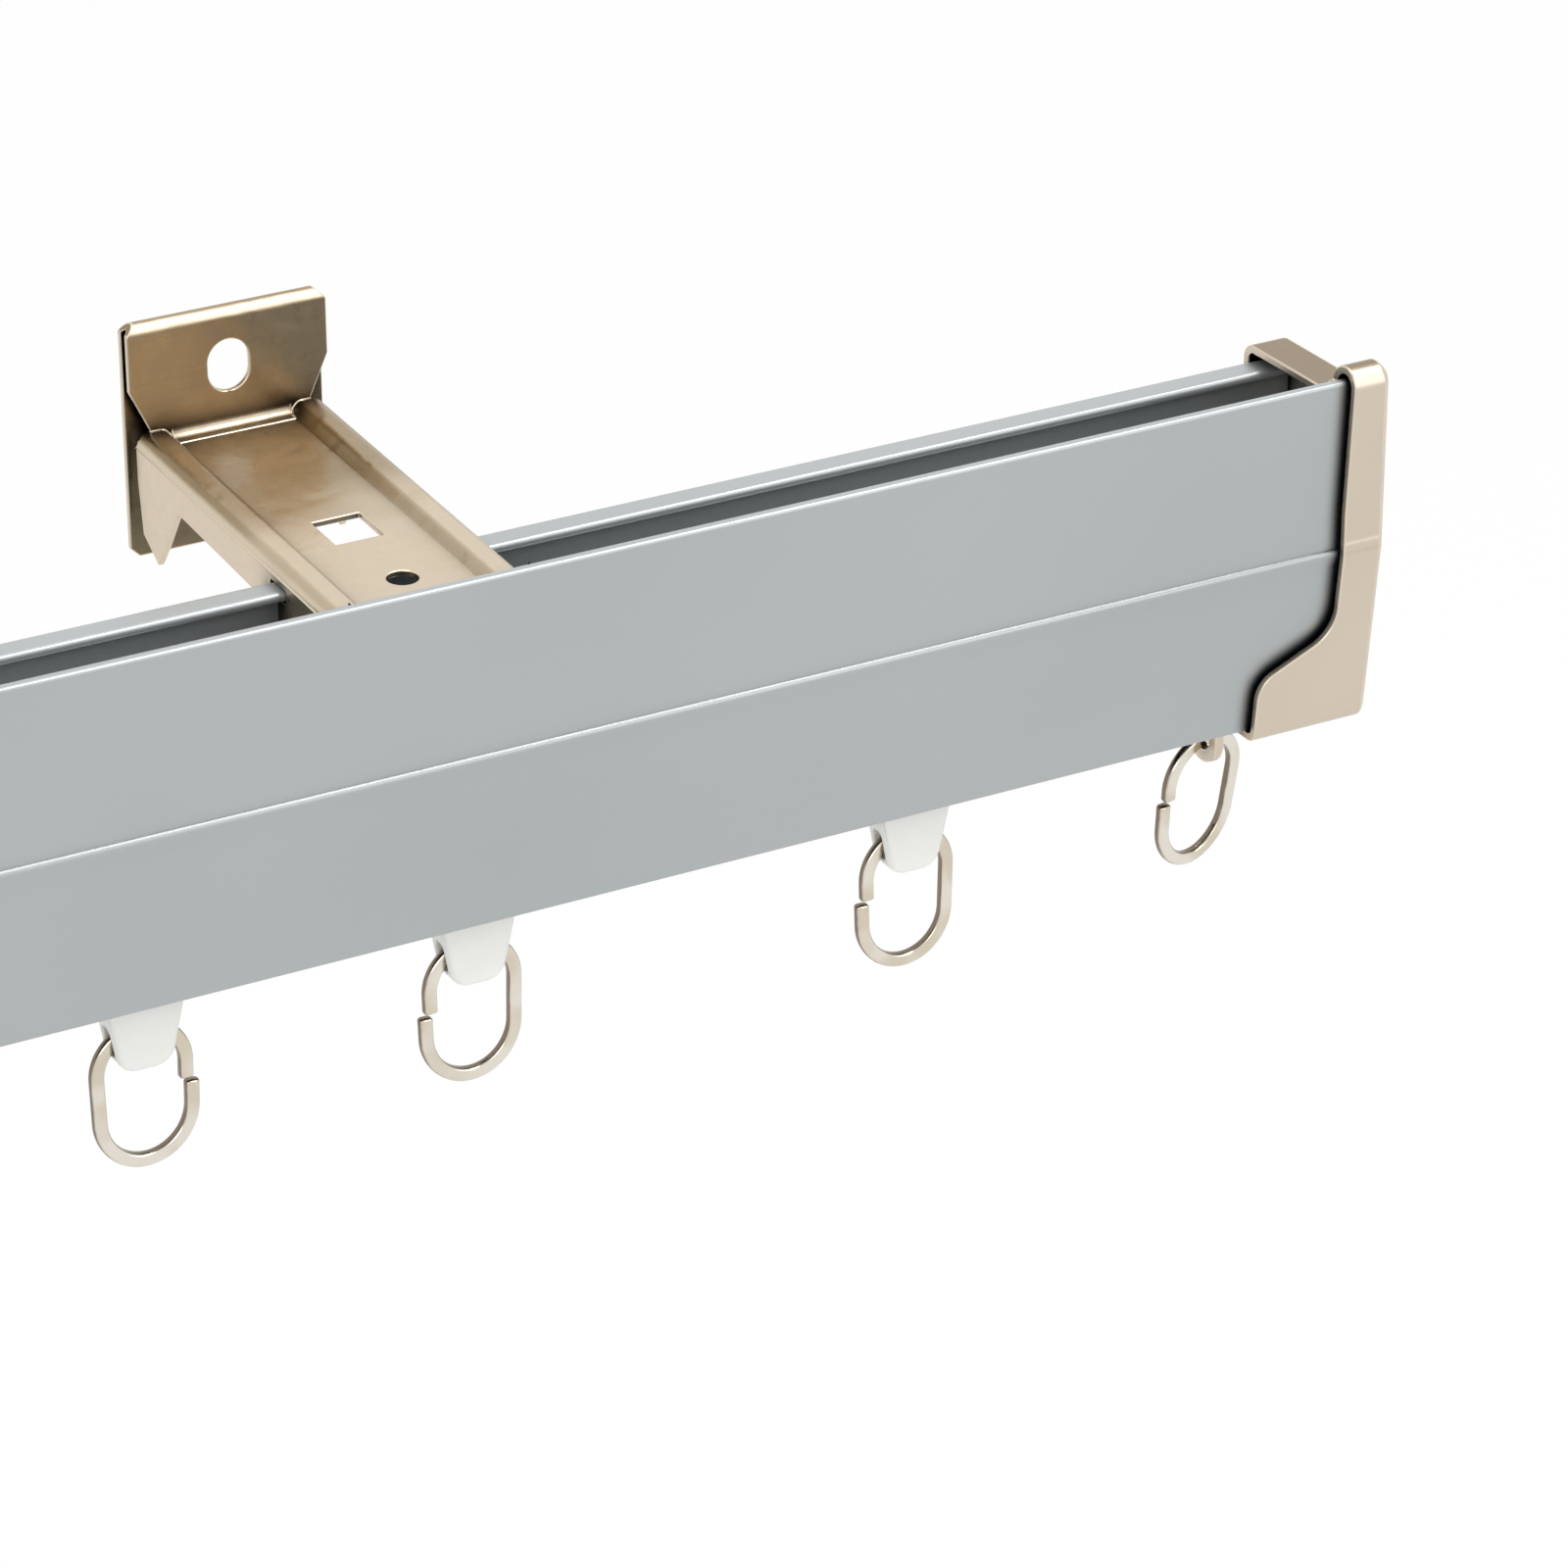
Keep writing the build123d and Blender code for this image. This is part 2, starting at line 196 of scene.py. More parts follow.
def shade_hollows(
    tree: bpy.types.NodeTree,
    colour: bpy.types.Node,
    hollow: str,
    reach: float,
    openings: Point2 = (0.35, 0.96),
) -> bpy.types.Node:
    """Paint shade into a finish's gaps and creases, darkening its colour near neighbouring surfaces.

    Args:
        tree: the material's node tree.
        colour: the node that gives the finish's colour in the open.
        hollow: the painted shade's colour in a deep gap, as sRGB hex.
        reach: how far from a neighbouring surface the darkening starts, in mm.
        openings: the open shares at which a spot is fully dark and fully clear.

    Returns:
        The node that gives the colour with painted shade in its hollows.
    """
    # Ambient occlusion finds the spots close to other surfaces, where the shade is painted.
    around = add_node(tree, "ShaderNodeAmbientOcclusion", {"samples": 8}, {"Distance": reach * MM})
    openness = add_node(
        tree, "ShaderNodeMapRange", SMOOTH, {"Value": around.outputs["AO"], **span(openings)}
    )
    return add_node(tree, "ShaderNodeMix", COLOUR_MIX, blend(openness, hollow, colour))


def new_material(name: str) -> tuple[bpy.types.Material, bpy.types.NodeTree]:
    """Make a material whose node tree is empty, and give both."""
    material = bpy.data.materials.new(name)
    material.use_nodes = True
    material.node_tree.nodes.clear()
    return material, material.node_tree


def new_object(name: str, mesh: bpy.types.Mesh) -> bpy.types.Object:
    """Link a mesh into the scene as an object at the origin."""
    piece = bpy.data.objects.new(name, mesh)
    bpy.context.scene.collection.objects.link(piece)
    return piece


def keep_inside(mesh: bpy.types.Mesh, node: str) -> None:
    """Pull any point that a rounding pushed out of a solid's box back to that box.

    Args:
        mesh: the piece's mesh.
        node: the solid's name.
    """
    low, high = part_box(node)
    for vertex in mesh.vertices:
        vertex.co = [min(max(value, least), most) for value, least, most in zip(vertex.co, low, high)]


def settle(piece: bpy.types.Object, sharp_degrees: float = 32.0) -> bpy.types.Object:
    """Apply a piece's modifiers, shade it smooth and weight its normals by face area.

    Args:
        piece: the object to finish.
        sharp_degrees: an edge that turns more than this stays sharp.

    Returns:
        The same object with its finished mesh.
    """
    piece.data.shade_smooth()
    piece.data.set_sharp_from_angle(angle=math.radians(sharp_degrees))
    weighted = piece.modifiers.new("weighted", "WEIGHTED_NORMAL")
    weighted.keep_sharp = True
    weighted.weight = 80
    bpy.context.view_layer.update()
    finished = piece.evaluated_get(bpy.context.evaluated_depsgraph_get())
    mesh = bpy.data.meshes.new_from_object(finished)
    piece.modifiers.clear()
    piece.data = mesh
    return piece


def softened_copy(node: bpy.types.Object, name: str, radius: float) -> bpy.types.Object:
    """Copy a solid's mesh and round its edges as pressing or moulding leaves them.

    Args:
        node: the solid to copy, which itself stays as it is.
        name: the new piece's name.
        radius: how wide each rounding is, in mm.

    Returns:
        The new piece, whose rounded edges take its second material.
    """
    mesh = node.data.copy()
    mesh.name = name
    body = bmesh.new()
    body.from_mesh(mesh)
    bmesh.ops.remove_doubles(body, verts=body.verts, dist=WELD_DISTANCE)
    bmesh.ops.dissolve_limit(
        body,
        angle_limit=math.radians(FLAT_DEGREES),
        verts=body.verts,
        edges=body.edges,
        use_dissolve_boundaries=False,
    )
    body.to_mesh(mesh)
    body.free()
    mesh.materials.clear()
    piece = new_object(name, mesh)
    bevel = piece.modifiers.new("rounding", "BEVEL")
    bevel.limit_method = "ANGLE"
    bevel.angle_limit = math.radians(CORNER_DEGREES)
    bevel.width = radius * MM
    bevel.segments = 3
    bevel.use_clamp_overlap = False
    bevel.miter_outer = "MITER_ARC"
    bevel.material = 1
    return piece


def finish_copy(piece: bpy.types.Object, node: str, materials: Iterable[bpy.types.Material]) -> None:
    """Give a softened copy its materials, settle it and keep it in its solid's box.

    Args:
        piece: the softened copy.
        node: the solid's name.
        materials: the material of its faces and that of its rounded edges.
    """
    for material in materials:
        piece.data.materials.append(material)
    settle(piece)
    keep_inside(piece.data, node)


def rounded_outline(corners: Sequence[Point3], steps: int = 6) -> list[Point2]:
    """Round each corner of a closed outline.

    Args:
        corners: (first, second, radius) for each corner in order.
        steps: how many short sides a corner's arc gets.

    Returns:
        The points of the rounded outline.
    """
    points: list[Point2] = []
    for index, (u, v, radius) in enumerate(corners):
        here = Vector((u, v))
        before = (Vector(corners[index - 1][:2]) - here).normalized()
        after = (Vector(corners[(index + 1) % len(corners)][:2]) - here).normalized()
        half_angle = before.angle(after) / 2
        if radius <= 0 or half_angle > math.radians(STRAIGHT_DEGREES):
            points.append((u, v))
            continue
        reach = radius / math.tan(half_angle)
        centre = here + (before + after).normalized() * radius / math.sin(half_angle)
        start = here + before * reach - centre
        end = here + after * reach - centre
        turn = start.angle_signed(end)
        for step in range(steps + 1):
            spoke = start.copy()
            spoke.rotate(Matrix.Rotation(-turn * step / steps, 2))
            points.append((centre.x + spoke.x, centre.y + spoke.y))
    return points


def sweep(name: str, rows: Iterable[Iterable[Vector]]) -> bpy.types.Object:
    """Join a row of equal closed outlines into one skin and close its two ends.

    Args:
        name: the new piece's name.
        rows: each outline's points in order, in metres.

    Returns:
        The new piece.
    """
    body = bmesh.new()
    rings = [[body.verts.new(point) for point in row] for row in rows]
    for before, after in zip(rings, rings[1:]):
        for index in range(len(before)):
            other = (index + 1) % len(before)
            body.faces.new((before[index], before[other], after[other], after[index]))
    body.faces.new(rings[0])
    body.faces.new(rings[-1])
    bmesh.ops.recalc_face_normals(body, faces=body.faces)
    mesh = bpy.data.meshes.new(name)
    body.to_mesh(mesh)
    body.free()
    return new_object(name, mesh)


# Finishes


@dataclass(frozen=True)
class PowderCoat:
    """Satin grey-blue powder coat on extruded aluminium.

    The eye gets a soft, even sheen with a very fine orange peel, a gloss that changes faintly in
    draw lines along the extrusion, wide soft clouds, and bright lines where an edge is rounded.
    Its gaps and creases get painted shade.
    """

    colour: str = "B1B4B4"
    cool_colour: str = "A3A9AB"
    # The colour of the painted shade in the rail's gaps and creases, such as beside the caps.
    hollow: str = "0C0F11"
    roughness: float = 0.3
    metallic: float = 0.45
    hollow_reach: float = 1.8
    openings: Point2 = (0.52, 0.98)
    # Past this y most of the painted shade in the hollows is taken out, so that the open top channel isn't
    # black.
    unshaded_behind: float = 2.4
    unshaded_fade: float = 1.0
    unshaded_share: float = 0.8
    peel_size: float = 0.9
    peel_depth: float = 0.004
    peel_strength: float = 0.35
    # Real draw lines are about 0.3 mm apart; they are drawn coarser, or the picture would lose them.
    line_pitch: float = 1.4
    line_stretch: Point3 = (0.002, 1.0, 1.0)
    line_gloss: Point2 = (-0.015, 0.015)
    cloud_size: float = 45.0

    def make(self) -> bpy.types.Material:
        """Build the coat's material."""
        material, tree = new_material("powder_coated_aluminium")
        where = add_node(tree, "ShaderNodeTexCoord").outputs["Object"]
        clouds = add_node(tree, "ShaderNodeTexNoise", inputs=pattern(where, self.cloud_size, 2.0))
        colour = add_node(tree, "ShaderNodeMix", COLOUR_MIX, blend(clouds, self.colour, self.cool_colour))
        # Painted shade in the gaps and creases.
        hollow_shaded = shade_hollows(tree, colour, self.hollow, self.hollow_reach, self.openings)
        axes = add_node(tree, "ShaderNodeSeparateXYZ", inputs={0: where})
        # Behind the fascia, inside the channel, most of the painted shade is taken back out.
        unshaded_from = self.unshaded_behind - WALL_REACH
        unshaded = add_node(
            tree,
            "ShaderNodeMapRange",
            inputs={
                "Value": axes.outputs["Y"],
                **span(metres(unshaded_from, unshaded_from + self.unshaded_fade), (0.0, self.unshaded_share)),
            },
        )
        shaded = add_node(tree, "ShaderNodeMix", COLOUR_MIX, blend(unshaded, hollow_shaded, colour))
        peel = add_node(tree, "ShaderNodeTexNoise", inputs=pattern(where, self.peel_size, 1.0))
        stretched = add_node(
            tree, "ShaderNodeMapping", inputs={"Vector": where, "Scale": self.line_stretch}
        )
        lines = add_node(tree, "ShaderNodeTexNoise", inputs=pattern(stretched, self.line_pitch, 1.0))
        sheen = add_node(
            tree,
            "ShaderNodeMapRange",
            inputs={"Value": lines, **span(NOISE_SPREAD, self.line_gloss, self.roughness)},
        )
        peeled = add_node(tree, "ShaderNodeBump", inputs=raised(peel, self.peel_strength, self.peel_depth))
        shader = add_node(
            tree,
            "ShaderNodeBsdfPrincipled",
            inputs={"Base Color": shaded, "Metallic": self.metallic, "Roughness": sheen, "Normal": peeled},
        )
        add_node(tree, "ShaderNodeOutputMaterial", inputs={"Surface": shader})
        return material


@dataclass(frozen=True)
class NickelSheet:
    """Nickel plate on pressed sheet steel.

    The eye gets a warm satin metal that is brown and dull near the wall, partly the plating's own tone
    and partly painted reflection, and cream towards the rail, with painted shade on the faces that lean
    sideways and in the creases, rolling lines across the arm, small pits, shallow dents and bright edges.
    """

    bright: str = "D6C7B0"
    brown: str = "9A8567"
    edge: str = "D6C9B3"
    # Colour of the painted shade on faces that lean sideways.
    slope: str = "86714F"
    # Colour of the painted shade in the creases.
    crease: str = "2A1F14"
    crease_reach: float = 4.0
    openings: Point2 = (0.5, 0.985)
    roughness: float = 0.3
    edge_roughness: float = 0.34
    # The plate browns between these two Y, in mm, and its patches shift that by the drift. The brown is
    # partly the plating's own tone and partly painted reflection.
    brown_between: Point2 = (-29.0, -12.0)
    brown_shares: Point2 = (0.05, 0.85)
    drift: Point2 = (-7.0, 7.0)
    patch_size: float = 18.0
    # How squarely a face looks along an axis: flat faces brown, and those that lean sideways darken
    # with painted shade.
    flat_between: Point2 = (0.9, 0.99)
    lean_between: Point2 = (0.15, 0.5)
    upright_between: Point2 = (0.7, 0.95)
    slope_share: float = 0.75
    # How the painted shade on the slopes grows towards the wall.
    rear_shares: Point2 = (0.45, 1.3)
    # Real rolling lines are about 0.1 mm apart; they are drawn coarser, or the picture would lose them.
    line_pitch: float = 0.35
    line_stretch: Point3 = (0.03, 1.0, 1.0)
    line_tone: float = 0.1
    line_drop: float = 0.08
    line_strength: float = 0.3
    # Real pits are about 0.4 mm wide; they are drawn coarser for the same reason.
    pit_size: float = 1.1
    pit_between: Point2 = (0.35, 0.7)
    pit_gloss: Point2 = (-0.03, 0.05)
    pit_strength: float = 0.2
    relief: float = 0.012
    dent_size: float = 5.0
    dent_depth: float = 0.3
    dent_strength: float = 0.7
    dent_warp: float = 0.6

    def make(self) -> bpy.types.Material:
        """Build the sheet's material."""
        material, tree = new_material("nickel_plated_sheet_steel")
        where = add_node(tree, "ShaderNodeTexCoord").outputs["Object"]
        stretched = add_node(
            tree, "ShaderNodeMapping", inputs={"Vector": where, "Scale": self.line_stretch}
        )
        lines = add_node(tree, "ShaderNodeTexNoise", inputs=pattern(stretched, self.line_pitch, 1.0))
        pits = add_node(tree, "ShaderNodeTexNoise", inputs=pattern(where, self.pit_size, 2.0))
        dents = add_node(
            tree,
            "ShaderNodeTexNoise",
            inputs={**pattern(where, self.dent_size, 1.0), "Distortion": self.dent_warp},
        )
        dull = add_node(
            tree,
            "ShaderNodeMapRange",
            inputs={"Value": pits, **span(self.pit_between, self.pit_gloss, self.roughness)},
        )
        below: dict[str, bpy.types.Node] = {}
        for height, strength, depth in (
            (pits, self.pit_strength, self.relief),
            (lines, self.line_strength, self.relief),
            (dents, self.dent_strength, self.dent_depth),
        ):
            inputs = {**raised(height, strength, depth), **below}
            below = {"Normal": add_node(tree, "ShaderNodeBump", inputs=inputs)}
        colour = self.plating(tree, where, lines)
        shader = add_node(
            tree,
            "ShaderNodeBsdfPrincipled",
            inputs={"Base Color": colour, "Metallic": 1.0, "Roughness": dull, **below},
        )
        add_node(tree, "ShaderNodeOutputMaterial", inputs={"Surface": shader})
        return material

    def plating(
        self, tree: bpy.types.NodeTree, where: bpy.types.NodeSocket, lines: bpy.types.Node
    ) -> bpy.types.Node:
        """Colour the plate by its depth, and paint shade on its sideways slopes and in its creases.

        Args:
            tree: the material's node tree.
            where: the place on the object.
            lines: the rolling lines.

        Returns:
            The node that gives the plate's colour.
        """
        axes = add_node(tree, "ShaderNodeSeparateXYZ", inputs={0: where})
        patches = add_node(tree, "ShaderNodeTexNoise", inputs=pattern(where, self.patch_size, 2.0))
        drift = add_node(
            tree,
            "ShaderNodeMapRange",
            inputs={"Value": patches, **span(NOISE_SPREAD, metres(*self.drift))},
        )
        depth = add_node(tree, "ShaderNodeMath", {"operation": "ADD"}, {0: axes.outputs["Y"], 1: drift})
        brownness = add_node(
            tree,
            "ShaderNodeMapRange",
            SMOOTH,
            {"Value": depth, **span(metres(*self.brown_between), self.brown_shares)},
        )
        lined = add_node(
            tree,
            "ShaderNodeMath",
            {"operation": "MULTIPLY_ADD"},
            {0: lines, 1: self.line_tone, 2: brownness},
        )
        worked = add_node(
            tree,
            "ShaderNodeMath",
            {"operation": "SUBTRACT", "use_clamp": True},
            {0: lined, 1: self.line_drop},
        )
        facing = add_node(tree, "ShaderNodeNewGeometry").outputs["Normal"]
        turned = add_node(tree, "ShaderNodeVectorMath", {"operation": "ABSOLUTE"}, {0: facing})
        sides = add_node(tree, "ShaderNodeSeparateXYZ", inputs={0: turned})
        squarest = add_node(
            tree,
            "ShaderNodeMath",
            {"operation": "MAXIMUM"},
            {0: sides.outputs["Y"], 1: sides.outputs["Z"]},
        )
        # Only faces that look squarely along Y or Z take the brown, part of which is painted reflection.
        flat = add_node(
            tree, "ShaderNodeMapRange", SMOOTH, {"Value": squarest, **span(self.flat_between)}
        )
        toned = add_node(tree, "ShaderNodeMath", {"operation": "MULTIPLY"}, {0: worked, 1: flat})
        plated = add_node(tree, "ShaderNodeMix", COLOUR_MIX, blend(toned, self.bright, self.brown))
        # Painted shade on faces that lean sideways, stronger towards the wall.
        leaning, upright = (
            add_node(tree, "ShaderNodeMapRange", SMOOTH, {"Value": sides.outputs["X"], **limits})
            for limits in (span(self.lean_between), span(self.upright_between, (self.slope_share, 0.0)))
        )
        sloping = add_node(tree, "ShaderNodeMath", {"operation": "MULTIPLY"}, {0: leaning, 1: upright})
        rearward = add_node(
            tree,
            "ShaderNodeMapRange",
            inputs={"Value": brownness, **span((0.0, 1.0), self.rear_shares)},
        )
        darkened = add_node(
            tree,
            "ShaderNodeMath",
            {"operation": "MULTIPLY", "use_clamp": True},
            {0: sloping, 1: rearward},
        )
        colour = add_node(tree, "ShaderNodeMix", COLOUR_MIX, blend(darkened, plated, self.slope))
        # Painted shade in the creases and gaps.
        return shade_hollows(tree, colour, self.crease, self.crease_reach, self.openings)

    def make_edge(self) -> bpy.types.Material:
        """Build the rubbed nickel of the sheet's folded and cut edges."""
        rubbed = BrightNickel(
            colour=self.edge,
            warm=self.edge,
            side=self.edge,
            roughness=self.edge_roughness,
            name="rubbed_nickel_edge",
        )
        return rubbed.make()


@dataclass(frozen=True)
class SatinNickel:
    """Finely brushed satin nickel on a pressed cap.

    The eye gets a smooth warm metal with hair-fine upright brushing that spreads its highlights,
    painted shade on its up-facing tops, and one soft raised bead where the cap follows the rail's crease.
    """

    colour: str = "D8CCBB"
    deep: str = "CDC0AE"
    # Colour of the painted shade in the cap's gaps and creases.
    hollow: str = "241C14"
    # Colour of the painted shade on faces that look up, mixed in as they turn upward.
    top: str = "8C7A60"
    top_between: Point2 = (0.86, 1.0)
    top_share: float = 0.85
    hollow_reach: float = 2.0
    roughness: float = 0.34
    gloss_drift: Point2 = (-0.04, 0.04)
    # Real brushing is finer than 0.1 mm; it is drawn coarser, or the picture would lose it.
    brush_pitch: float = 0.25
    brush_stretch: Point3 = (1.0, 1.0, 0.03)
    brush_depth: float = 0.006
    brush_strength: float = 0.3
    cloud_size: float = 18.0
    bead_height: float = 18.5
    bead_half: float = 1.0
    bead_stand: float = 0.17

    def make(self) -> bpy.types.Material:
        """Build the cap's material."""
        material, tree = new_material("satin_nickel")
        where = add_node(tree, "ShaderNodeTexCoord").outputs["Object"]
        clouds = add_node(tree, "ShaderNodeTexNoise", inputs=pattern(where, self.cloud_size, 3.0))
        colour = add_node(tree, "ShaderNodeMix", COLOUR_MIX, blend(clouds, self.colour, self.deep))
        facing = add_node(tree, "ShaderNodeNewGeometry").outputs["Normal"]
        tilt = add_node(tree, "ShaderNodeSeparateXYZ", inputs={0: facing})
        # Painted shade on the up-facing tops.
        upward = add_node(
            tree,
            "ShaderNodeMapRange",
            SMOOTH,
            {"Value": tilt.outputs["Z"], **span(self.top_between, (0.0, self.top_share))},
        )
        topped = add_node(tree, "ShaderNodeMix", COLOUR_MIX, blend(upward, colour, self.top))
        # Painted shade in the gaps and creases.
        shaded = shade_hollows(tree, topped, self.hollow, self.hollow_reach)
        stretched = add_node(
            tree, "ShaderNodeMapping", inputs={"Vector": where, "Scale": self.brush_stretch}
        )
        brushing = add_node(tree, "ShaderNodeTexNoise", inputs=pattern(stretched, self.brush_pitch, 2.0))
        sheen = add_node(
            tree,
            "ShaderNodeMapRange",
            inputs={"Value": brushing, **span(NOISE_SPREAD, self.gloss_drift, self.roughness)},
        )
        brushed = add_node(
            tree, "ShaderNodeBump", inputs=raised(brushing, self.brush_strength, self.brush_depth)
        )
        axes = add_node(tree, "ShaderNodeSeparateXYZ", inputs={0: where})
        above = add_node(
            tree,
            "ShaderNodeMath",
            {"operation": "SUBTRACT"},
            {0: axes.outputs["Z"], 1: (self.bead_height - HOLE_HEIGHT) * MM},
        )
        off_middle = add_node(tree, "ShaderNodeMath", {"operation": "ABSOLUTE"}, {0: above})
        bead = add_node(
            tree,
            "ShaderNodeMapRange",
            {"interpolation_type": "SMOOTHERSTEP"},
            {"Value": off_middle, **span(metres(0.0, self.bead_half), (1.0, 0.0))},
        )
        beaded = add_node(
            tree,
            "ShaderNodeBump",
            inputs={**raised(bead, 1.0, self.bead_stand), "Normal": brushed},
        )
        shader = add_node(
            tree,
            "ShaderNodeBsdfPrincipled",
            inputs={"Base Color": shaded, "Metallic": 1.0, "Roughness": sheen, "Normal": beaded},
        )
        add_node(tree, "ShaderNodeOutputMaterial", inputs={"Surface": shader})
        return material


@dataclass(frozen=True)
class BrightNickel:
    """Bright nickel plate on steel wire or on a rubbed edge.

    The eye gets near-mirror metal whose flat faces are bright and whose rims are darker with painted
    shade. The plating is slightly uneven, so its highlights and the edge of that shade waver.
    """

    colour: str = "E2DBD0"
    warm: str = "D2C8B6"
    # Colour of the painted shade on the wire's rims, the faces that turn away from Y.
    side: str = "7E7262"
    roughness: float = 0.14
    gloss_drift: Point2 = (-0.04, 0.07)
    ripple_size: float = 1.6
    ripple_depth: float = 0.02
    ripple_strength: float = 0.4
    waver: float = 0.5
    face_between: Point2 = (0.55, 1.15)
    cloud_size: float = 4.5
    cloud_between: Point2 = (0.35, 0.65)
    name: str = "bright_nickel_wire"

    def make(self) -> bpy.types.Material:
        """Build the plate's material."""
        material, tree = new_material(self.name)
        where = add_node(tree, "ShaderNodeTexCoord").outputs["Object"]
        ripple = add_node(tree, "ShaderNodeTexNoise", inputs=pattern(where, self.ripple_size, 3.0))
        tone = add_node(
            tree,
            "ShaderNodeMapRange",
            inputs={"Value": ripple, **span(NOISE_SPREAD, self.gloss_drift, self.roughness)},
        )
        uneven = add_node(
            tree, "ShaderNodeBump", inputs=raised(ripple, self.ripple_strength, self.ripple_depth)
        )
        # Painted shade on the rims, whose edge wavers with the ripple.
        facing = add_node(tree, "ShaderNodeNewGeometry").outputs["Normal"]
        turned = add_node(tree, "ShaderNodeSeparateXYZ", inputs={0: facing})
        flat = add_node(tree, "ShaderNodeMath", {"operation": "ABSOLUTE"}, {0: turned.outputs["Y"]})
        wavering = add_node(
            tree, "ShaderNodeMath", {"operation": "MULTIPLY_ADD"}, {0: ripple, 1: self.waver, 2: flat}
        )
        face = add_node(
            tree, "ShaderNodeMapRange", SMOOTH, {"Value": wavering, **span(self.face_between)}
        )
        clouds = add_node(tree, "ShaderNodeTexNoise", inputs=pattern(where, self.cloud_size, 1.0))
        cloudy = add_node(
            tree, "ShaderNodeMapRange", SMOOTH, {"Value": clouds, **span(self.cloud_between)}
        )
        plating = add_node(tree, "ShaderNodeMix", COLOUR_MIX, blend(cloudy, self.warm, self.colour))
        colour = add_node(tree, "ShaderNodeMix", COLOUR_MIX, blend(face, self.side, plating))
        shader = add_node(
            tree,
            "ShaderNodeBsdfPrincipled",
            inputs={"Base Color": colour, "Metallic": 1.0, "Roughness": tone, "Normal": uneven},
        )
        add_node(tree, "ShaderNodeOutputMaterial", inputs={"Surface": shader})
        return material


@dataclass(frozen=True)
class MouldedAcetal:
    """White acetal, injection moulded.

    The eye gets a clean white plastic with a slightly waxy depth and a fine, uneven gloss.
    """

    colour: str = "ECECE9"
    shade: str = "E5E5E1"
    roughness: float = 0.38
    gloss_drift: Point2 = (-0.05, 0.08)
    ior: float = 1.48
    wax_share: float = 0.08
    wax_depth: float = 1.0
    # The real mould's grain is about 0.2 mm; it is drawn coarser, or the picture would lose it.
    grain_size: float = 0.6
    grain_depth: float = 0.008
    grain_strength: float = 0.3
    flow_size: float = 3.6

    def make(self) -> bpy.types.Material:
        """Build the plastic's material."""
        material, tree = new_material("moulded_white_acetal")
        where = add_node(tree, "ShaderNodeTexCoord").outputs["Object"]
        grain = add_node(tree, "ShaderNodeTexNoise", inputs=pattern(where, self.grain_size, 2.0))
        flow = add_node(tree, "ShaderNodeTexNoise", inputs=pattern(where, self.flow_size, 2.0))
        colour = add_node(tree, "ShaderNodeMix", COLOUR_MIX, blend(flow, self.colour, self.shade))
        gloss = add_node(
            tree,
            "ShaderNodeMapRange",
            inputs={"Value": grain, **span(NOISE_SPREAD, self.gloss_drift, self.roughness)},
        )
        surface = add_node(
            tree, "ShaderNodeBump", inputs=raised(grain, self.grain_strength, self.grain_depth)
        )
        shader = add_node(
            tree,
            "ShaderNodeBsdfPrincipled",
            inputs={
                "Base Color": colour,
                "Roughness": gloss,
                "IOR": self.ior,
                "Subsurface Weight": self.wax_share,
                "Subsurface Scale": self.wax_depth * MM,
                "Normal": surface,
            },
        )
        add_node(tree, "ShaderNodeOutputMaterial", inputs={"Surface": shader})
        return material


# The object's pieces


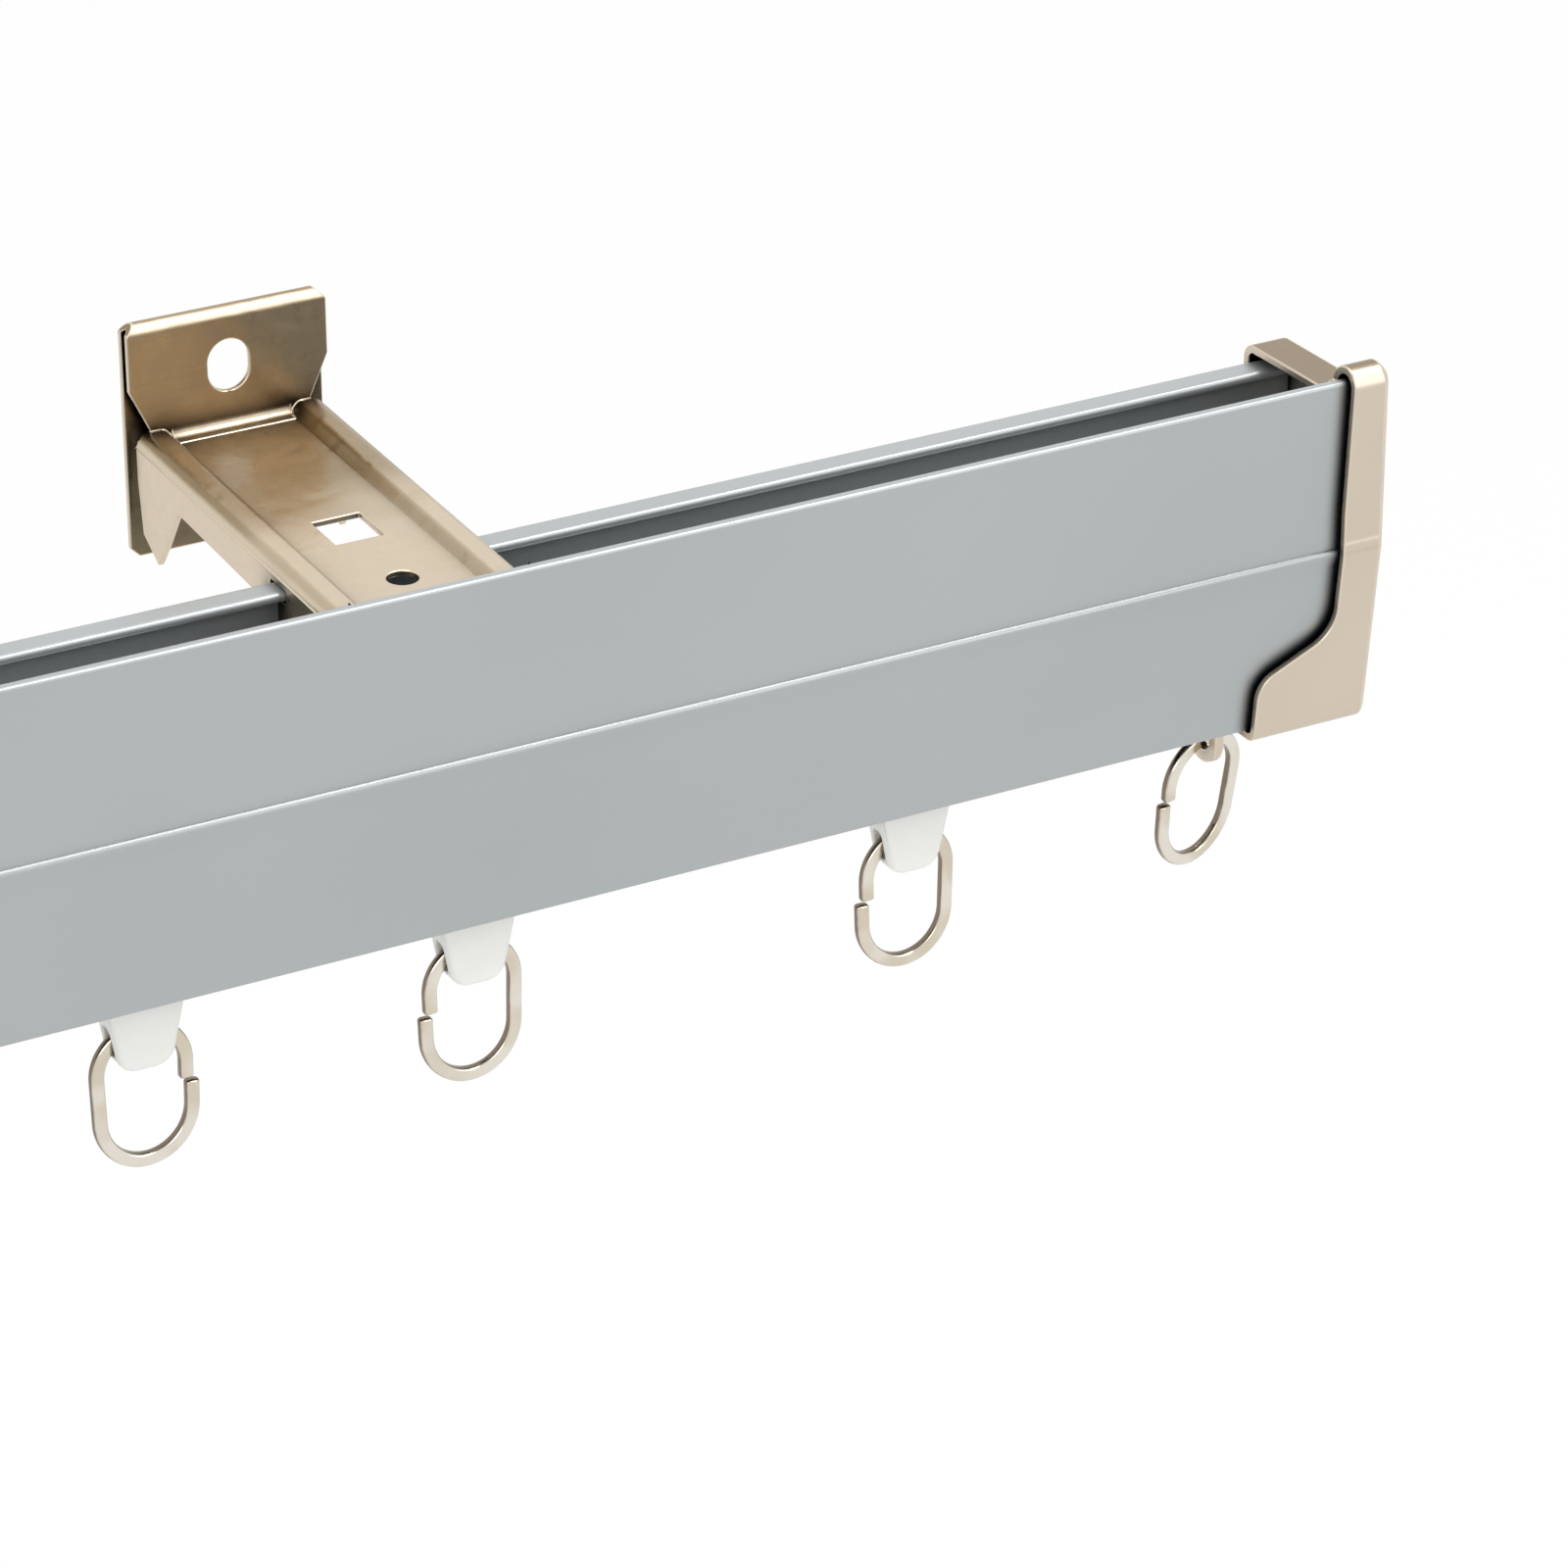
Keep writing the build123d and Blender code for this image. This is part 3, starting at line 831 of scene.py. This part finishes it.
@dataclass
class Rail:
    """The extruded rail: fascia, web, rear wall with its inward lip, and the glider channel."""

    coat: bpy.types.Material
    half_length: float = 199.1
    fascia_height: float = 35.0
    fascia_lean: float = 2.0
    crease_height: float = 17.6
    crease_radius: float = 0.55
    crease_stand: float = 0.3
    crease_foot: float = 1.3
    crease_start: float = 117.0
    crease_turn: float = 83.0
    crease_steps: int = 10
    wall: float = 1.2
    depth: float = 16.1
    rear_height: float = 31.35
    lip_width: float = 3.0
    lip_thickness: float = 1.0
    slot_front: float = 4.8
    slot_rear: float = 10.6
    bead_stand: float = 2.0
    bead_thickness: float = 0.9
    round_soft: float = 0.3
    round_inner: float = 0.2
    round_crisp: float = 0.15
    round_fine: float = 0.1
    round_rear: float = 0.7
    round_lip: float = 0.49
    rounds_top: Point2 = (0.45, 0.4)

    def crease(self) -> list[Point2]:
        """The bead along the fascia's crease: round above, and running out gently below."""
        middle = self.crease_radius - self.crease_stand
        bead: list[Point2] = []
        for step in range(self.crease_steps + 1):
            angle = math.radians(self.crease_start + self.crease_turn * step / self.crease_steps)
            y = middle + self.crease_radius * math.cos(angle)
            bead.append((y, self.crease_height + self.crease_radius * math.sin(angle)))
        foot_lean = self.fascia_lean * self.crease_foot / self.crease_height
        return bead + [(foot_lean, self.crease_height - self.crease_foot)]

    def section(self) -> list[Point2]:
        """The rail's outline across its length, with every corner rounded as the die leaves it."""
        lean = self.fascia_lean + self.wall
        slope = self.fascia_lean / self.crease_height
        inner = self.depth - self.wall
        web_foot = self.crease_height - self.wall
        lip_edge = self.depth - self.lip_width
        lip_foot = self.rear_height - self.lip_thickness
        bead_top = lip_foot + self.bead_thickness
        corners = [
            (self.fascia_lean, 0.0, self.round_soft),
            (self.slot_front, 0.0, self.round_crisp),
            (self.slot_front, self.wall, self.round_crisp),
            (lean - self.wall * slope, self.wall, self.round_inner),
            (lean - web_foot * slope, web_foot, self.round_soft),
            (inner, web_foot, self.round_soft),
            (inner, self.wall, self.round_inner),
            (self.slot_rear, self.wall, self.round_crisp),
            (self.slot_rear, 0.0, self.round_crisp),
            (self.depth, 0.0, self.round_soft),
            (self.depth, self.rear_height, self.round_rear),
            (lip_edge, self.rear_height, self.round_lip),
            (lip_edge, lip_foot, self.round_lip),
            (inner, lip_foot, self.round_crisp),
            (inner, self.crease_height, self.round_soft),
            (self.wall, self.crease_height, self.round_soft),
            (self.wall, lip_foot, self.round_fine),
            (self.bead_stand, lip_foot, self.round_inner),
            (self.bead_stand, bead_top, self.round_soft),
            (self.wall, bead_top, self.round_fine),
            (self.wall, self.fascia_height, self.rounds_top[0]),
            (0.0, self.fascia_height, self.rounds_top[1]),
        ]
        return rounded_outline(corners) + self.crease()

    def build(self) -> bpy.types.Object:
        """Sweep the section along the rail and dress it."""
        outline = self.section()
        ends = (-self.half_length, self.half_length)
        piece = sweep("rail_extrusion", [[place(x, y, z) for y, z in outline] for x in ends])
        settle(piece, sharp_degrees=30)
        piece.data.materials.append(self.coat)
        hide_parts("rail")
        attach(piece, "track")
        return piece


@dataclass
class EndCap:
    """One pressed cap with its rounded rims and hanging tongue."""

    node: bpy.types.Object
    side: Side
    nickel: bpy.types.Material
    rim: bpy.types.Material
    rounding: float = 0.16

    def build(self) -> bpy.types.Object:
        """Round the cap's edges and dress it."""
        label = self.side.name.lower()
        piece = softened_copy(self.node, f"pressed_cap_{label}", self.rounding)
        finish_copy(piece, f"end_cap_{label}", (self.nickel, self.rim))
        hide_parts(f"end_cap_{label}")
        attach(piece, "track")
        return piece


@dataclass
class Bracket:
    """One folded bracket with rubbed edges."""

    node: bpy.types.Object
    side: Side
    plate: bpy.types.Material
    edge: bpy.types.Material
    rounding: float = 0.12

    def build(self) -> bpy.types.Object:
        """Round the bracket's edges and dress it."""
        label = self.side.name.lower()
        piece = softened_copy(self.node, f"folded_bracket_{label}", self.rounding)
        finish_copy(piece, f"bracket_{label}", (self.plate, self.edge))
        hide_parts(f"bracket_{label}")
        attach(piece, "track")
        return piece


@dataclass
class Glider:
    """One moulded glider with softened edges and an eye that widens towards the rail."""

    node: bpy.types.Object
    number: int
    x: float
    plastic: bpy.types.Material
    rounding: float = 0.2
    head_clear: float = 0.05
    eye_drop: float = 8.27
    solid_widths: Point2 = (7.0, 4.9)
    seen_widths: Point2 = (8.4, 4.96)
    sideways: float = 0.25

    def widen_eye(self, mesh: bpy.types.Mesh) -> None:
        """Give the eye its full taper, which leaves the part inside the channel as it is.

        Args:
            mesh: the glider's mesh, in metres.
        """
        for vertex in mesh.vertices:
            drop = -(vertex.co.z / MM + HOLE_HEIGHT)
            if drop < -self.head_clear:
                continue
            share = min(max(drop / self.eye_drop, 0.0), 1.0)
            solid, seen = (
                top + (foot - top) * share for top, foot in (self.solid_widths, self.seen_widths)
            )
            off_middle = vertex.co.x - self.x * MM
            vertex.co.x = self.x * MM + off_middle * seen / solid + self.sideways * MM * (1 - share)

    def build(self) -> bpy.types.Object:
        """Widen the eye, round the glider's edges and dress it."""
        piece = softened_copy(self.node, f"moulded_glider_{self.number}", self.rounding)
        self.widen_eye(piece.data)
        finish_copy(piece, f"glider_{self.number}", (self.plastic, self.plastic))
        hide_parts(f"glider_{self.number}")
        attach(piece, f"glider_{self.number}")
        return piece


@dataclass
class SplitRing:
    """One split ring of flattened wire, its lower end outside its upper one.

    The wire's two ends are rounded by a few sections, each (how far from the end, how large).
    """

    node: str
    place_at: Matrix
    metal: bpy.types.Material
    upper_limb: float = 1.85
    taper: float = 0.05
    half_width: float = 5.0
    wire: float = 1.35
    half_depth: float = 0.5
    outer_round: float = 0.4
    inner_round: float = 0.3
    height: float = 14.8
    joint_step: float = 0.55
    joint_gap: float = 0.4
    arc_steps: int = 36
    limb_steps: int = 4
    tail_steps: int = 3
    corner_steps: int = 4
    blunt: tuple[Point2, ...] = ((0.0, 0.72), (0.05, 0.88), (0.16, 1.0))

    def path(self) -> list[tuple[Vector, Vector]]:
        """The wire's middle line as points of the XZ plane, each with its outward direction."""
        radius = self.half_width - self.wire / 2
        foot_radius = radius + self.joint_step / 2
        foot = -(self.height - self.half_width - self.wire / 2 - foot_radius)
        points: list[tuple[Vector, Vector]] = []
        for step in range(self.limb_steps + 1):
            spot = Vector((-radius, -self.upper_limb * (1 - step / self.limb_steps)))
            points.append((spot, Vector((-1, 0))))
        for step in range(1, self.arc_steps + 1):
            angle = math.pi * (1 - step / self.arc_steps)
            out = Vector((math.cos(angle), math.sin(angle)))
            points.append((out * radius, out))
        for step in range(1, self.limb_steps + 1):
            points.append((Vector((radius, foot * step / self.limb_steps)), Vector((1, 0))))
        middle = Vector((radius - foot_radius, foot))
        for step in range(1, self.arc_steps + 1):
            angle = -math.pi * step / self.arc_steps
            out = Vector((math.cos(angle), math.sin(angle)))
            points.append((middle + out * foot_radius, out))
        top = -self.upper_limb - self.joint_gap
        left = middle.x - foot_radius
        for step in range(1, self.tail_steps + 1):
            spot = Vector((left, foot + (top - foot) * step / self.tail_steps))
            points.append((spot, Vector((-1, 0))))
        for point, _ in points:
            drop = max(-point.y, 0.0) / (self.height - self.half_width)
            point.x *= 1 - self.taper * drop
        return points

    def section(self) -> list[Point2]:
        """The wire's outline: outward distance and side distance from its middle line."""
        half = self.wire / 2
        corners = [
            (half, -self.half_depth, self.outer_round),
            (half, self.half_depth, self.outer_round),
            (-half, self.half_depth, self.inner_round),
            (-half, -self.half_depth, self.inner_round),
        ]
        return rounded_outline(corners, self.corner_steps)

    def build(self) -> bpy.types.Object:
        """Sweep the wire along its path, round its two ends and dress it."""
        stations = self.path()
        (first, first_out), (last, last_out) = stations[0], stations[-1]
        start = (stations[1][0] - first).normalized()
        end = (last - stations[-2][0]).normalized()
        line = [(first + start * back, first_out, size) for back, size in self.blunt]
        line += [(middle, out, 1.0) for middle, out in stations[1:-1]]
        line += [(last - end * back, last_out, size) for back, size in self.blunt[::-1]]
        rows: list[list[Vector]] = []
        for middle, out, size in line:
            row = []
            for outward, sideways in self.section():
                spot = middle + out * outward * size
                row.append(self.place_at @ Vector((spot.x, sideways * size, spot.y)) * MM)
            rows.append(row)
        piece = settle(sweep(f"wire_{self.node}", rows), sharp_degrees=40)
        keep_inside(piece.data, self.node)
        piece.data.materials.append(self.metal)
        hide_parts(self.node)
        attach(piece, self.node)
        return piece


@dataclass
class Hangings:
    """Where the gliders and rings hang along the track."""

    first_insets: tuple[float, ...] = (46.8, 92.4, 125.2)
    count: int = 7
    turned: tuple[int, ...] = (3,)
    tongue_inset: float = 13.7
    ring_drop: float = 9.0
    end_hook_height: float = -2.805
    end_arc_radius: float = 4.325
    end_yaw: float = 13.0
    end_tilt: float = 7.0

    def stations(self) -> list[float]:
        """Each glider's X, from the right end."""
        insets = list(self.first_insets)
        evenly = self.count - len(insets)
        pitch = (2 * HALF_LENGTH - self.tongue_inset - insets[-1]) / (evenly + 1)
        insets += [insets[-1] + pitch * step for step in range(1, evenly + 1)]
        return [HALF_LENGTH - inset for inset in insets]

    def glider_ring(self, number: int, x: float) -> Matrix:
        """Where a glider's ring hangs, in mm in the part's frame.

        Args:
            number: the glider's number, from 1.
            x: the glider's X.

        Returns:
            The ring's placing, mirrored for a ring that is turned round.
        """
        flip = Matrix.Scale(-1, 4, Vector((1, 0, 0))) if number in self.turned else Matrix.Identity(4)
        spot = (x, SLOT_CENTRE - WALL_REACH, -self.ring_drop - HOLE_HEIGHT)
        return Matrix.Translation(spot) @ flip

    def end_ring(self, side: Side) -> Matrix:
        """Where an end cap's ring hangs from its tongue, in mm in the part's frame."""
        flip = Matrix.Scale(side.value, 4, Vector((1, 0, 0)))
        spot = (
            HALF_LENGTH - self.tongue_inset,
            SLOT_CENTRE - WALL_REACH,
            self.end_hook_height - HOLE_HEIGHT,
        )
        yaw = Matrix.Rotation(math.radians(self.end_yaw), 4, "Z")
        tilt = Matrix.Rotation(math.radians(self.end_tilt), 4, "X")
        hang = Matrix.Translation((0, 0, -self.end_arc_radius))
        return flip @ Matrix.Translation(spot) @ yaw @ tilt @ hang


# Studio


@dataclass
class Studio:
    """The pale floor, the soft lamps, the world and the camera."""

    floor_height: float = -0.30
    floor_half: float = 4.0
    paper: str = "F4F4F2"
    paper_roughness: float = 0.5
    white: Colour = (1.0, 1.0, 1.0, 1.0)
    glow_share: float = 0.9
    ambient: float = 0.7
    lamps_aim: Point3 = (0.1, -0.03, -0.02)
    lens: float = 149.197
    camera_place: Point3 = (-0.119093, -0.509084, 0.232635)
    yaw: float = 28.887
    pitch: float = 26.593
    roll: float = -0.124

    def floor(self) -> None:
        """Lay a pale floor that keeps the object's shadow and is white in every reflection."""
        half = self.floor_half
        mesh = bpy.data.meshes.new("floor")
        corners = [(-half, -half), (half, -half), (half, half), (-half, half)]
        mesh.from_pydata([(x, y, self.floor_height) for x, y in corners], [], [(0, 1, 2, 3)])
        floor = new_object("floor", mesh)
        material, tree = new_material("studio_paper")
        paper = add_node(
            tree,
            "ShaderNodeBsdfDiffuse",
            inputs={"Color": linear(self.paper), "Roughness": self.paper_roughness},
        )
        glow = add_node(tree, "ShaderNodeEmission", inputs={"Color": self.white, "Strength": 1.0})
        share = add_node(
            tree,
            "ShaderNodeMath",
            {"operation": "MULTIPLY"},
            {0: self.shown_rays(tree), 1: self.glow_share},
        )
        mixed = add_node(tree, "ShaderNodeMixShader", inputs={0: share, 1: paper, 2: glow})
        add_node(tree, "ShaderNodeOutputMaterial", inputs={"Surface": mixed})
        mesh.materials.append(material)

    def shown_rays(self, tree: bpy.types.NodeTree) -> bpy.types.Node:
        """One for a ray that shows the background, straight on or in a gloss, and 0 for light."""
        path = add_node(tree, "ShaderNodeLightPath")
        shown = path.outputs["Is Camera Ray"]
        for kind in ("Is Glossy Ray", "Is Transmission Ray"):
            shown = add_node(
                tree, "ShaderNodeMath", {"operation": "MAXIMUM"}, {0: shown, 1: path.outputs[kind]}
            )
        return shown

    def world(self) -> None:
        """Set a white surround for what is seen and a softer one for what lights the object."""
        world = bpy.data.worlds.new("studio_surround")
        world.use_nodes = True
        tree = world.node_tree
        tree.nodes.clear()
        strength = add_node(
            tree,
            "ShaderNodeMapRange",
            inputs={"Value": self.shown_rays(tree), **span((0.0, 1.0), (self.ambient, 1.0))},
        )
        surround = add_node(
            tree, "ShaderNodeBackground", inputs={"Color": self.white, "Strength": strength}
        )
        add_node(tree, "ShaderNodeOutputWorld", inputs={"Surface": surround})
        bpy.context.scene.world = world

    def lamp(self, name: str, spot: Point3, size: Point2, power: float) -> None:
        """Hang one rectangular soft lamp that looks at the track's right part.

        Args:
            name: the lamp's name.
            spot: where it hangs, in metres.
            size: its width and height in metres.
            power: its power in watts.
        """
        light = bpy.data.lights.new(name, "AREA")
        light.shape = "RECTANGLE"
        light.size, light.size_y = size
        light.energy = power
        lamp = bpy.data.objects.new(name, light)
        aim = Vector(self.lamps_aim) - Vector(spot)
        lamp.rotation_euler = aim.to_track_quat("-Z", "Y").to_euler()
        lamp.location = spot
        bpy.context.scene.collection.objects.link(lamp)

    def lamps(self) -> None:
        """Hang a top lamp, a front lamp from the left, a weak one from the right and an edge lamp."""
        self.lamp("top_lamp", (0.0, 0.25, 1.1), (1.0, 0.5), 2.8)
        self.lamp("front_lamp", (-0.7, -0.9, 0.6), (0.8, 0.8), 3.2)
        self.lamp("right_lamp", (0.65, -0.85, 0.42), (0.5, 0.8), 1.7)
        self.lamp("edge_lamp", (0.5, -0.3, 0.85), (0.7, 0.3), 4.3)

    def camera(self) -> None:
        """Set the camera where the photograph was taken from."""
        yaw, pitch, roll = (math.radians(angle) for angle in (self.yaw, self.pitch, self.roll))
        level = math.cos(pitch)
        forward = Vector((math.sin(yaw) * level, math.cos(yaw) * level, -math.sin(pitch)))
        right = Vector((math.cos(yaw), -math.sin(yaw), 0.0))
        up = right.cross(forward)
        tilted_right = right * math.cos(roll) + up * math.sin(roll)
        tilted_up = up * math.cos(roll) - right * math.sin(roll)
        data = bpy.data.cameras.new("camera")
        data.lens = self.lens
        data.sensor_width = 36.0
        data.clip_start = 0.01
        camera = bpy.data.objects.new("camera", data)
        turn = Matrix((tilted_right, tilted_up, -forward)).transposed().to_4x4()
        camera.matrix_world = Matrix.Translation(self.camera_place) @ turn
        bpy.context.scene.collection.objects.link(camera)
        bpy.context.scene.camera = camera

    def build(self) -> None:
        """Set up the whole studio."""
        self.floor()
        self.world()
        self.lamps()
        self.camera()
        bpy.context.scene.view_settings.view_transform = "Standard"


def report(pieces: Iterable[bpy.types.Object]) -> None:
    """Log each piece's name and number of faces."""
    for piece in pieces:
        log.info("%s: %d faces", piece.name, len(piece.data.polygons))


def main() -> None:
    """Build every sub-assembly in order."""
    logging.basicConfig(level=logging.INFO, format="%(name)s %(message)s")
    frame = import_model()
    nodes = frame["nodes"]
    sheet = NickelSheet()
    plate, rubbed = sheet.make(), sheet.make_edge()
    nickel = SatinNickel().make()
    rim = BrightNickel(
        colour="DDD1BF", warm="D8CBB8", side="D2C5B1", roughness=0.26, name="satin_nickel_rim"
    ).make()
    wire = BrightNickel().make()
    acetal = MouldedAcetal().make()
    hangings = Hangings()

    pieces = [Rail(PowderCoat().make()).build()]
    for side in Side:
        label = side.name.lower()
        pieces.append(EndCap(nodes[f"end_cap_{label}"], side, nickel, rim).build())
        pieces.append(Bracket(nodes[f"bracket_{label}"], side, plate, rubbed).build())
        end_ring = SplitRing(
            f"end_ring_{label}", hangings.end_ring(side), wire, upper_limb=1.3, taper=0.12
        )
        pieces.append(end_ring.build())
    for number, x in enumerate(hangings.stations(), start=1):
        pieces.append(Glider(nodes[f"glider_{number}"], number, x, acetal).build())
        pieces.append(SplitRing(f"ring_{number}", hangings.glider_ring(number, x), wire).build())
    report(pieces)
    Studio().build()

    bpy.context.view_layer.update()


if __name__ == "__main__":
    main()
